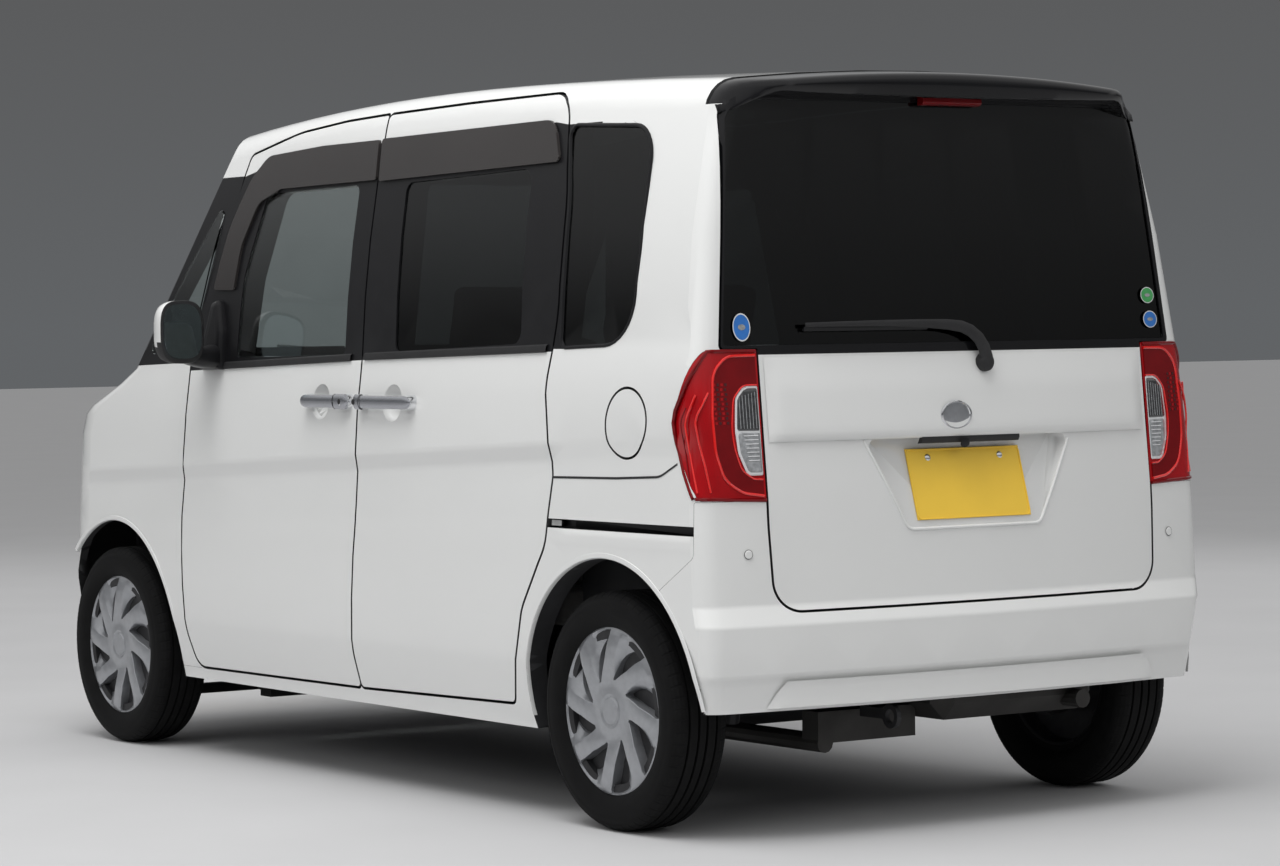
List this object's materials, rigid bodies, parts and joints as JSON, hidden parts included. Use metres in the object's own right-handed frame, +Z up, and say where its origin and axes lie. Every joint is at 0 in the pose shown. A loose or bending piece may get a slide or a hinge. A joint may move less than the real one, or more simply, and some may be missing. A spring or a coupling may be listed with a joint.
{
  "type": "kei car",
  "caption": "Tall-wagon kei car with hinged front doors, sliding rear doors, a wide tailgate, smoked visors, covered wheels and a full cabin.",
  "frame": {"origin": "on the ground under the car's centre, midway along its length", "axes": "+X forward along the car, +Y to the car's left, +Z up"},
  "size_m": [3.395, 1.81, 1.75],
  "materials": {
    "body_paint": "gloss",
    "underbody": "satin",
    "dark_trim": "matte",
    "gloss_black": "gloss",
    "clear_glass": "gloss",
    "privacy_glass": "gloss",
    "visor": "gloss",
    "lamp_red": "gloss",
    "lamp_clear": "gloss",
    "chrome": "polished",
    "mirror_cap": "gloss",
    "tyre": "matte",
    "wheel": "satin",
    "chassis": "rough",
    "engine": "cast",
    "exhaust": "brushed",
    "tank": "matte",
    "seat_fabric": "woven",
    "cabin_plastic": "matte",
    "plate_yellow": "satin"
  },
  "bodies": {
    "car": {"body_side_left": "body_paint", "body_side_right": "body_paint", "cowl": "dark_trim", "dashboard": "cabin_plastic", "engine": "engine", "exhaust": "exhaust", "fenders": "body_paint", "floor": "underbody", "front_bumper": "body_paint", "front_plate": "plate_yellow", "front_quarter_glass": "clear_glass", "front_seats": "seat_fabric", "front_suspension": "chassis", "front_wipers": "dark_trim", "fuel_tank": "tank", "grille": "dark_trim", "headlamps": "lamp_clear", "privacy_glass": "privacy_glass", "rear_axle": "chassis", "rear_bumper": "body_paint", "rear_seat": "seat_fabric", "rear_visors": "visor", "roof": "body_paint", "sliding_door_handles": "chrome", "sliding_doors": "body_paint", "tail_lamps": "lamp_red", "tow_eyes": "chassis", "windscreen": "clear_glass"},
    "front_left_wheel": {"tyre_front_left": "tyre", "wheel_front_left": "wheel"},
    "front_right_wheel": {"tyre_front_right": "tyre", "wheel_front_right": "wheel"},
    "rear_left_wheel": {"tyre_rear_left": "tyre", "wheel_rear_left": "wheel"},
    "rear_right_wheel": {"tyre_rear_right": "tyre", "wheel_rear_right": "wheel"},
    "left_knuckle": {"knuckle_left": "chassis"},
    "right_knuckle": {"knuckle_right": "chassis"},
    "left_front_door": {"front_door_left": "body_paint", "front_door_glass_left": "clear_glass", "front_door_handle_left": "chrome", "front_visor_left": "visor", "mirror_left": "mirror_cap"},
    "right_front_door": {"front_door_right": "body_paint", "front_door_glass_right": "clear_glass", "front_door_handle_right": "chrome", "front_visor_right": "visor", "mirror_right": "mirror_cap"},
    "tailgate_lid": {"tailgate": "body_paint", "tailgate_glass": "privacy_glass", "spoiler": "gloss_black", "rear_wiper": "dark_trim", "rear_plate": "plate_yellow"},
    "bonnet_lid": {"bonnet": "body_paint"},
    "fuel_flap": {"fuel_lid": "body_paint"},
    "steering": {"steering_wheel": "cabin_plastic"}
  },
  "joints": [
    {"name": "left_steer", "type": "hinge", "parent": "car", "child": "left_knuckle", "pos_m": [1.2075, 0.6, 0.15], "axis": [0, -0.1293, 0.9916], "range_deg": [-35, 35]},
    {"name": "front_left_spin", "type": "hinge", "parent": "left_knuckle", "child": "front_left_wheel", "pos_m": [1.2075, 0.65, 0.272], "axis": [0, 1, 0], "continuous": true},
    {"name": "rear_left_spin", "type": "hinge", "parent": "car", "child": "rear_left_wheel", "pos_m": [-1.2475, 0.65, 0.272], "axis": [0, 1, 0], "continuous": true},
    {"name": "right_steer", "type": "hinge", "parent": "car", "child": "right_knuckle", "pos_m": [1.2075, -0.6, 0.15], "axis": [0, 0.1293, 0.9916], "range_deg": [-35, 35]},
    {"name": "front_right_spin", "type": "hinge", "parent": "right_knuckle", "child": "front_right_wheel", "pos_m": [1.2075, -0.65, 0.272], "axis": [0, 1, 0], "continuous": true},
    {"name": "rear_right_spin", "type": "hinge", "parent": "car", "child": "rear_right_wheel", "pos_m": [-1.2475, -0.65, 0.272], "axis": [0, 1, 0], "continuous": true},
    {"name": "steering_wheel_turn", "type": "hinge", "parent": "car", "child": "steering", "pos_m": [0.43, -0.33, 0.945], "axis": [-0.8829, 0, 0.4695], "range_deg": [-540, 540]},
    {"name": "left_door_hinge", "type": "hinge", "parent": "car", "child": "left_front_door", "pos_m": [0.738, 0.716, 0.7], "axis": [0, 0, -1], "range_deg": [0, 75]},
    {"name": "right_door_hinge", "type": "hinge", "parent": "car", "child": "right_front_door", "pos_m": [0.738, -0.716, 0.7], "axis": [0, 0, 1], "range_deg": [0, 75]},
    {"name": "tailgate_hinge", "type": "hinge", "parent": "car", "child": "tailgate_lid", "pos_m": [-1.5, 0, 1.724], "axis": [0, 1, 0], "range_deg": [0, 85]},
    {"name": "bonnet_hinge", "type": "hinge", "parent": "car", "child": "bonnet_lid", "pos_m": [1.2585, 0, 1.038], "axis": [0, -1, 0], "range_deg": [0, 55]},
    {"name": "fuel_lid_hinge", "type": "hinge", "parent": "car", "child": "fuel_flap", "pos_m": [-1.264, 0.726, 0.925], "axis": [0, 0, -1], "range_deg": [0, 90]}
  ],
  "couplings": [
    {"joint": "right_steer", "follows": "left_steer", "ratio": 1},
    {"joint": "steering_wheel_turn", "follows": "left_steer", "ratio": 15}
  ]
}
